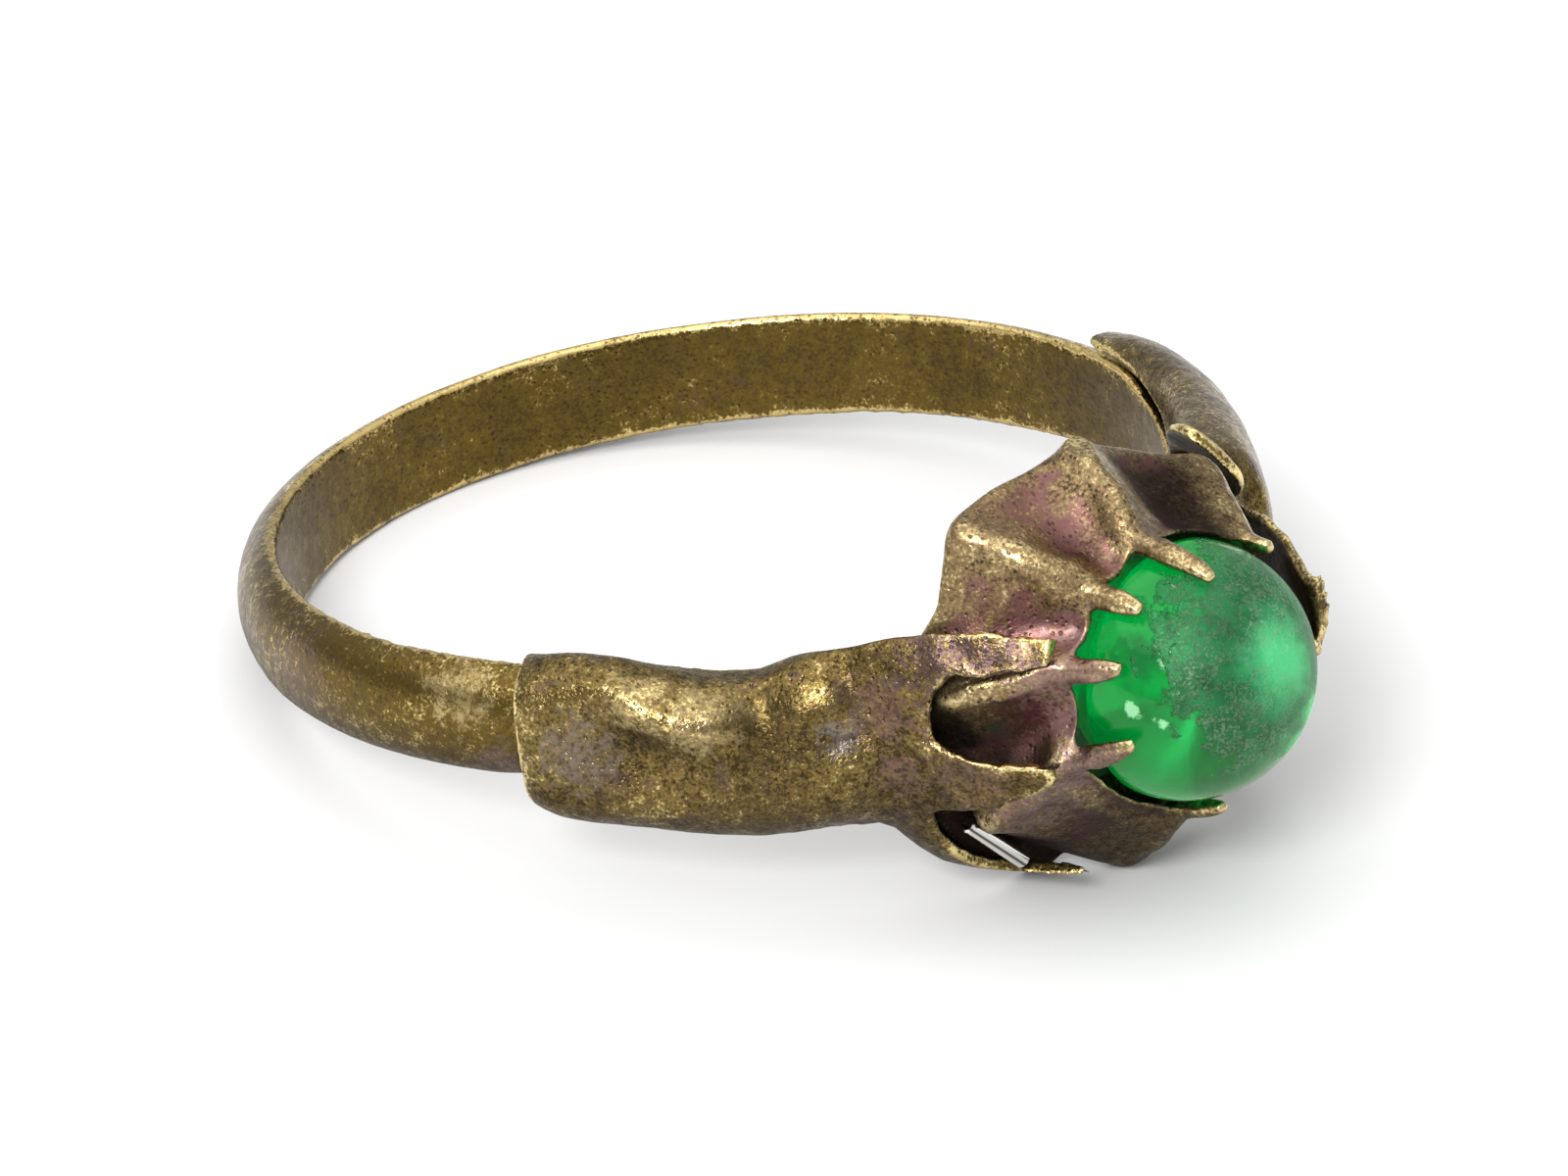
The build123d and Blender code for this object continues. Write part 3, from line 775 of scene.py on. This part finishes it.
# Dents of the near shoulder: angle, height and depth (outwards where it is above 0), reach
# along and across the sleeve, and the turn of the long side in degrees.
leftDents = [
    {"angle": 48.5, "up": 1.35, "depth": -0.30, "along": 1.0, "across": 0.5, "turn": 20},
    {"angle": 55.0, "up": 1.0, "depth": 0.30, "along": 1.2, "across": 0.5, "turn": 42},
    {"angle": 48.0, "up": 0.4, "depth": 0.24, "along": 0.9, "across": 0.5, "turn": 15},
    {"angle": 56.0, "up": -0.2, "depth": -0.26, "along": 0.9, "across": 0.6, "turn": 30},
    {"angle": 41.0, "up": 0.5, "depth": -0.30, "along": 0.6, "across": 1.2, "turn": 0},
    {"angle": 33.0, "up": -0.25, "depth": -0.18, "along": 0.5, "across": 0.4, "turn": 0},
    {"angle": 31.0, "up": 0.1, "depth": -0.10, "along": 0.9, "across": 0.8, "turn": 0},
    {"angle": 27.5, "up": 0.75, "depth": 0.14, "along": 0.6, "across": 0.5, "turn": 0},
    {"angle": 66.5, "up": 0.6, "depth": 0.08, "along": 0.3, "across": 2.0, "turn": 0},
]
# Shifts of the near shoulder's upper and lower side, by angle.
leftShifts = {
    "angle": (10, 18, 22, 24.5, 27, 29, 31, 33.5, 36,
              38.5, 40, 42, 46, 50, 56, 62, 66, 72),
    "upper": (0, 0, 0.05, 0.1, 0.2, 0.25, 0.31, 0.34, 0.27,
              0.13, 0.03, 0, 0.04, 0.11, 0.12, 0.06, 0, 0),
    "lower": (0, 0.1, 0.15, 0.3, 0.5, 0.42, 0.12, -0.12, -0.22,
              -0.25, -0.25, -0.26, -0.26, -0.27, -0.27, -0.27, -0.26, -0.2),
}
# Each shoulder: its side, how ragged its tongues are, whether its lower slot and tongue
# change, and how much brighter it is.
shoulders = [
    {"node": "shoulder_left", "side": 1, "ragged": 1.0, "lowerTongue": 1, "tone": 0.0,
     "dents": leftDents, "shifts": leftShifts,
     "skin": {"size": 0.5, "height": 0.01, "seed": 5}},
    {"node": "shoulder_right", "side": -1, "ragged": 0.3, "lowerTongue": 0, "tone": -0.25,
     "dents": [], "shifts": None,
     "skin": {"size": 0.5, "height": 0.01, "seed": 3}},
]


def sleeveAngle(ring, side):
    return np.degrees(np.arctan2(ring[:, 1] * side, ring[:, 0]))


# Moves both walls of a sleeve alike, by how far each place is from a dent.
def dent(points, row):
    ring = toRing(points * mm)
    reach = np.hypot(ring[:, 0], ring[:, 1])
    angle = sleeveAngle(ring, row["side"])
    move = np.zeros(len(points))
    for mark in row["dents"]:
        along = np.radians(angle - mark["angle"]) * sheetLook["sleeveRadius"]
        across = ring[:, 2] - mark["up"]
        turn = math.radians(mark["turn"])
        lengthways = along * math.cos(turn) + across * math.sin(turn)
        sideways = across * math.cos(turn) - along * math.sin(turn)
        move += mark["depth"] * hill(lengthways, mark["along"]) * hill(sideways, mark["across"])
    ring[:, :2] *= (1 + move * smooth(*sheetLook["dented"], reach) / reach)[:, None]
    if row["shifts"]:
        shifts = row["shifts"]
        upper = smooth(*sheetLook["upperSide"], ring[:, 2])
        lower = smooth(*sheetLook["lowerSide"], ring[:, 2])
        ring[:, 2] += (np.interp(angle, shifts["angle"], shifts["upper"]) * upper
                       + np.interp(angle, shifts["angle"], shifts["lower"]) * lower)
    return fromRing(ring) / mm


# Makes the tongues' edges uneven; the near shoulder's lower slot is widened towards the
# stone, and its lower tongue is drawn out.
def torn(points, row):
    level, angle, radius = aroundStone(points)
    look, slot, tongue = sheetLook["torn"], sheetLook["slot"], sheetLook["tongue"]
    free = smooth(*look["levels"], level) * row["ragged"]
    level = level + free * lumps(points, look["level"])
    angle = angle + free * (lumps(points, look["angle"]) + lumps(points, look["smallAngle"]))
    radius = radius + free * lumps(points, look["radius"])
    changed = row["lowerTongue"]
    opened = hill(angle - slot["angle"], slot["spread"]) * stretch(slot["levels"], level)
    angle = angle - changed * slot["by"] * opened
    drawn = smooth(*tongue["angles"], angle) * smooth(*tongue["levels"], level)
    return fromStone(level + changed * tongue["by"] * drawn, angle, radius)


def makeShoulder(row, material):
    mesh = denseCopy(row["node"], sheetLook["grain"])
    waist = sheetLook["waist"]
    around = sleeveAngle(toRing(places(mesh) * mm), row["side"])
    relaxPlaces(mesh, hill(around - waist["angle"], waist["spread"]), waist["rounds"])
    points = torn(places(mesh), row)
    points += normals(mesh) * lumps(points, row["skin"])[:, None]
    outward = toRing(points * mm) * (1, 1, 0)
    outward /= np.linalg.norm(outward, axis=1)[:, None]
    swell = lumps(points, sheetLook["lump"]) + lumps(points, sheetLook["smallLump"])
    points = dent(points, row)
    points += fromRing(outward) / mm * swell[:, None]
    setPlaces(mesh, points)
    level, angle = aroundStone(points)[:2]
    inward = facings(mesh, angle)[1]
    # painted shade on the inside walls that face the stone's axis
    innerShade = smooth(*sheetLook["shadedFacing"], inward) * smooth(*sheetLook["shadedLevels"], level)
    finishCopy(mesh, row["node"], material, row["tone"], innerShade)


sheetMaterial = agedMaterial("sheetBrass", sheetLook)
for row in shoulders:
    makeShoulder(row, sheetMaterial)
print("shoulders made")


# Stone: clear at the left and below, frosted and scratched over its crown, with a painted glow
# over its crown, which brightens its colour and gives off light, and two painted glints that
# give off light. Noises and ranges are given as the alloy's are.
stoneLook = {
    "colour": (0.0005, 0.52, 0.075, 1),
    "depth": (0.0005, 0.22, 0.03, 1),
    "frost": (0.035, 0.50, 0.17, 1),
    "frostShare": 0.7,
    "vein": (0.001, 0.10, 0.022, 1),
    "veinShare": 0.8,
    # painted light: the glow patch is tinted brighter and gives off light in the glow's colour, and
    # the glint patches give off light in the glint's colour
    "glowTint": (0.16, 0.80, 0.36, 1),
    "glowShare": 0.75,
    "glow": (0.06, 0.50, 0.19, 1),
    "glint": (0.35, 0.6, 0.4, 1),
    "unlit": (0.0, 0.0, 0.0, 1),
    "speck": (0.62, 0.76, 0.56, 1),
    "speckShare": 0.9,
    "speckHeight": 0.4,
    "clearRoughness": 0.03,
    "frostRoughness": 0.36,
    "transmission": 0.78,
    "specular": 0.12,
    "ior": 1.4,
    "bump": 0.8,
    "bumpDepth": 0.05,
    "clearBump": 0.12,
    "edgeNoise": (1500.0, 6.0, 0.75, 5.0),
    "edgeRange": (0.3, 0.7),
    "cloudNoise": (700.0, 4.0, 0.65, 15.0),
    "cloudRange": (0.35, 0.65, 0.0, 0.55),
    "veinNoise": (900.0, 5.0, 0.7, 11.0),
    "veinRange": (0.4, 0.6),
    "streakNoise": (1900.0, 5.0, 0.7, 14.0),
    "streakRange": (0.42, 0.56, 0.5, 0.0),
    "fineNoise": (15000.0, 3.0, 0.7, 6.0),
    "speckNoise": (1100.0, 3.0, 0.6, 13.0),
    "speckFloor": (0.35, 0.65, 0.62, 0.5),
    "speckRange": (0.0, 0.07),
    "scratchNoise": (1300.0, 6.0, 0.8, 10.0),
    "scratchMean": 0.5,
    "scratchRange": (0.0, 0.022, 1.0, 0.0),
    "scratchBreaks": (0.38, 0.52),
    "bumpNoise": (2600.0, 5.0, 0.7, 7.0),
    "segments": 128,
    "baseRows": 8,
    "bevelRows": 8,
    "domeRows": 40,
    # round patches: middle in ring mm, radius, how ragged the edge is and its soft share
    "patches": {
        "frost": {"at": (14.8, -0.2, 0.45), "radius": 2.35, "ragged": 0.24, "soft": 0.08},
        "glow": {"at": (15.3, -0.25, 0.4), "radius": 1.35, "ragged": 0.12, "soft": 0.95},
        "vein": {"at": (13.9, 1.75, 0.9), "radius": 1.2, "ragged": 0.6, "soft": 0.5},
        "glintA": {"at": (13.72, 2.42, -0.01), "radius": 0.2, "ragged": 0.6, "soft": 0.5},
        "glintB": {"at": (14.2, 2.19, -0.27), "radius": 0.16, "ragged": 0.8, "soft": 0.5},
    },
}


# The stone's profile as pairs of radius and level, from the middle of its base to its crown.
def stoneProfile():
    baseRadius, baseLevel = head["baseRadius"], head["baseLevel"]
    widest, bevelTop = head["stoneRadius"], head["girdleLevel"]
    profile = [(0.0, baseLevel)]
    for step in range(stoneLook["baseRows"]):
        profile.append((baseRadius * (step + 1) / stoneLook["baseRows"], baseLevel))
    for step in range(stoneLook["bevelRows"]):
        share = (step + 1) / stoneLook["bevelRows"]
        profile.append((baseRadius + (widest - baseRadius) * share,
                        baseLevel + (bevelTop - baseLevel) * share))
    for step in range(stoneLook["domeRows"] + 1):
        turn = math.pi / 2 * step / stoneLook["domeRows"]
        profile.append((widest * math.cos(turn), domeLevel + widest * math.sin(turn)))
    return profile


def makeStone():
    ring = np.array([(level, radius, -head["drop"]) for radius, level in stoneProfile()])
    lathe = bmesh.new()
    row = [lathe.verts.new(point) for point in fromRing(ring)]
    edges = [lathe.edges.new(pair) for pair in zip(row, row[1:])]
    centre = Vector(oneFromRing((0.0, 0.0, -head["drop"])))
    axis = Vector((0, -leanCos, leanSin))
    bmesh.ops.spin(lathe, geom=row + edges, cent=centre, axis=axis, angle=math.tau,
                   steps=stoneLook["segments"], use_merge=True)
    bmesh.ops.remove_doubles(lathe, verts=lathe.verts, dist=weldDistance)
    bmesh.ops.recalc_face_normals(lathe, faces=lathe.faces)
    mesh = bpy.data.meshes.new("stoneGlass")
    lathe.to_mesh(mesh)
    lathe.free()
    mesh.shade_smooth()
    return mesh


def glassMaterial():
    made, tree, shader, spot = newMaterial("greenGlass")

    def grain(name):
        return noiseOf(tree, spot, *stoneLook[name])

    edge = grain("edgeNoise")
    patches = {}
    for name, patch in stoneLook["patches"].items():
        ragged = ramp(tree, edge, *stoneLook["edgeRange"], -patch["ragged"], patch["ragged"])
        far = patchDistance(tree, spot, patch, ragged)
        patches[name] = ramp(tree, far, 1 - patch["soft"], 1.0, 1.0, 0.0)
    frost, glow = patches["frost"], patches["glow"]
    glint = sums(tree, "MAXIMUM", patches["glintA"], patches["glintB"])

    # the clear part holds soft clouds and darker streaks
    cloudy = ramp(tree, grain("cloudNoise"), *stoneLook["cloudRange"])
    vein = times(tree, patches["vein"], ramp(tree, grain("veinNoise"), *stoneLook["veinRange"]))
    streak = ramp(tree, grain("streakNoise"), *stoneLook["streakRange"])

    # scratches run where their noise crosses its mean
    fine = grain("fineNoise")
    lines = sums(tree, "SUBTRACT", grain("scratchNoise"), stoneLook["scratchMean"])
    scratch = ramp(tree, sums(tree, "ABSOLUTE", lines), *stoneLook["scratchRange"])
    scratch = times(tree, scratch, ramp(tree, fine, *stoneLook["scratchBreaks"]))
    bar = ramp(tree, grain("speckNoise"), *stoneLook["speckFloor"])
    specks = ramp(tree, sums(tree, "SUBTRACT", fine, bar), *stoneLook["speckRange"])
    specks = times(tree, sums(tree, "MAXIMUM", specks, scratch), frost)

    colour = stoneLook["colour"]
    for share, paint in (
        (cloudy, "depth"),
        (times(tree, frost, stoneLook["frostShare"]), "frost"),
        (times(tree, vein, stoneLook["veinShare"]), "vein"),
        # painted light: the glow patch brightens the base colour
        (times(tree, glow, stoneLook["glowShare"]), "glowTint"),
        (times(tree, streak, frost), "vein"),
        (times(tree, specks, stoneLook["speckShare"]), "speck"),
    ):
        colour = mixed(tree, share, colour, stoneLook[paint])
    link(tree, colour, shader.inputs["Base Color"])
    # painted light: the glow and the glints give off light
    light = mixed(tree, glow, stoneLook["unlit"], stoneLook["glow"])
    light = mixed(tree, glint, light, stoneLook["glint"])
    link(tree, light, shader.inputs["Emission Color"])
    shader.inputs["Emission Strength"].default_value = 1.0
    rough = added(tree, times(tree, frost, stoneLook["frostRoughness"]),
                  stoneLook["clearRoughness"])
    link(tree, rough, shader.inputs["Roughness"])
    shader.inputs["Transmission Weight"].default_value = stoneLook["transmission"]
    shader.inputs["IOR"].default_value = stoneLook["ior"]
    shader.inputs["Specular IOR Level"].default_value = stoneLook["specular"]
    height = added(tree, grain("bumpNoise"), times(tree, specks, stoneLook["speckHeight"]))
    height = times(tree, height, added(tree, frost, stoneLook["clearBump"]))
    addBump(tree, shader, height, stoneLook)
    return made


stoneMesh = makeStone()
stoneMesh.materials.append(glassMaterial())
stone = bpy.data.objects.new("stoneGlass", stoneMesh)
scene.collection.objects.link(stone)
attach(stone, "root")
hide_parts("stone")
print("stone made")


# Pin: bright steel, barely brushed, with a painted dark reflection: a dark line along its side in
# its colour. The line lies off the middle by a share of the pin's radius, as seen from a side in
# ring coordinates.
pinLook = {
    "colour": (0.80, 0.78, 0.76, 1),
    "paintedReflection": (0.12, 0.11, 0.10, 1),
    "reflectionSeenFrom": (0.7, 0.6, 0.4),
    "reflectionAt": 0.42,
    "reflectionEdge": (0.064, 0.224, 1.0, 0.0),
    "brushNoise": (9000.0, 4.0, 0.6, 8.0),
    "brushRoughness": (0.3, 0.7, 0.1, 0.16),
}


def steelMaterial(rod):
    made, tree, shader, spot = newMaterial("brightSteel")
    middle = rod.mean(0)
    way = np.linalg.svd(rod - middle, full_matrices=False)[2][0]
    side = np.cross(way, oneFromRing(pinLook["reflectionSeenFrom"]))
    side /= np.linalg.norm(side)
    radius = float(np.abs((rod - middle) @ side).max())
    across = addNode(tree, "ShaderNodeVectorMath", operation="DOT_PRODUCT")
    link(tree, spot, across.inputs[0])
    across.inputs[1].default_value = tuple(side)
    off = sums(tree, "SUBTRACT", across.outputs["Value"], float(middle @ side))
    off = sums(tree, "SUBTRACT", sums(tree, "DIVIDE", off, radius), pinLook["reflectionAt"])
    paintedReflection = ramp(tree, sums(tree, "ABSOLUTE", off), *pinLook["reflectionEdge"])
    colour = mixed(tree, paintedReflection, pinLook["colour"], pinLook["paintedReflection"])
    link(tree, colour, shader.inputs["Base Color"])
    shader.inputs["Metallic"].default_value = 1.0
    brushed = noiseOf(tree, spot, *pinLook["brushNoise"])
    link(tree, ramp(tree, brushed, *pinLook["brushRoughness"]), shader.inputs["Roughness"])
    return made


pin = frame["nodes"]["steel_pin"]
pin.data.materials.clear()
pin.data.materials.append(steelMaterial(places(pin.data)))
print("pin made")


# Floor, light and camera. The floor, lights and sky are in metres, the camera is in mm and
# degrees, its lens and sensor for the photo's whole width.
studio = {
    "floor": {"size": 3.0, "colour": (0.86, 0.86, 0.86, 1), "mottle": (0.8, 0.8, 0.8, 1),
              "noise": (60.0, 3.0, 0.5, 0.0), "mottleShare": (0.3, 0.7, 0.0, 0.02),
              "roughness": 0.9, "specular": 0.1},
    "sky": {"colour": (1, 1, 1, 1), "strength": (0.05, 0.8, 0.4, 0.85)},
    "key": {"at": (-0.1, 0.06, 0.5), "size": 1.0, "power": 1.9},
    "fill": {"at": (-0.44, -0.22, 0.38), "size": 0.22, "power": 2.1},
    "camera": {"azimuth": -46.07, "elevation": 30.03, "roll": 1.01, "distance": 293.42,
               "aim": (0.468, -1.203, -0.861), "lens": 333.6, "sensor": 36, "near": 0.01},
}


def makeFloor(look):
    flat = bmesh.new()
    bmesh.ops.create_grid(flat, x_segments=1, y_segments=1, size=look["size"] / 2)
    bmesh.ops.translate(flat, vec=(0, 0, cadBox[0][2]), verts=flat.verts)
    mesh = bpy.data.meshes.new("floor")
    flat.to_mesh(mesh)
    flat.free()
    made, tree, shader, spot = newMaterial("floorPaper")
    tone = ramp(tree, noiseOf(tree, spot, *look["noise"]), *look["mottleShare"])
    link(tree, mixed(tree, tone, look["colour"], look["mottle"]), shader.inputs["Base Color"])
    shader.inputs["Roughness"].default_value = look["roughness"]
    shader.inputs["Specular IOR Level"].default_value = look["specular"]
    mesh.materials.append(made)
    floor = bpy.data.objects.new("floor", mesh)
    scene.collection.objects.link(floor)


# Light from all round, stronger from above.
def makeSky(look):
    world = bpy.data.worlds.new("studio")
    scene.world = world
    world.use_nodes = True
    tree = world.node_tree
    back = tree.nodes["Background"]
    up = addNode(tree, "ShaderNodeSeparateXYZ")
    link(tree, addNode(tree, "ShaderNodeTexCoord").outputs["Generated"], up.inputs[0])
    link(tree, ramp(tree, up.outputs["Z"], *look["strength"]), back.inputs["Strength"])
    back.inputs["Color"].default_value = look["colour"]


def makeLight(name, look):
    data = bpy.data.lights.new(name, "AREA")
    data.shape = "DISK"
    data.size = look["size"]
    data.energy = look["power"]
    made = bpy.data.objects.new(name, data)
    made.location = look["at"]
    made.rotation_mode = "QUATERNION"
    made.rotation_quaternion = Vector(look["at"]).to_track_quat("Z", "Y")
    scene.collection.objects.link(made)


def makeCamera(look):
    azimuth, elevation = math.radians(look["azimuth"]), math.radians(look["elevation"])
    back = Vector((math.sin(azimuth) * math.cos(elevation),
                   -math.cos(azimuth) * math.cos(elevation), math.sin(elevation)))
    data = bpy.data.cameras.new("camera")
    data.sensor_width = look["sensor"]
    data.lens = look["lens"]
    data.clip_start = look["near"]
    data.dof.use_dof = False
    made = bpy.data.objects.new("camera", data)
    made.location = (Vector(look["aim"]) + back * look["distance"]) * mm
    made.rotation_mode = "QUATERNION"
    roll = Quaternion(back, math.radians(look["roll"]))
    made.rotation_quaternion = roll @ back.to_track_quat("Z", "Y")
    scene.collection.objects.link(made)
    scene.camera = made


makeFloor(studio["floor"])
makeSky(studio["sky"])
makeLight("key", studio["key"])
makeLight("fill", studio["fill"])
makeCamera(studio["camera"])
scene.view_settings.view_transform = "Standard"
print("studio made")
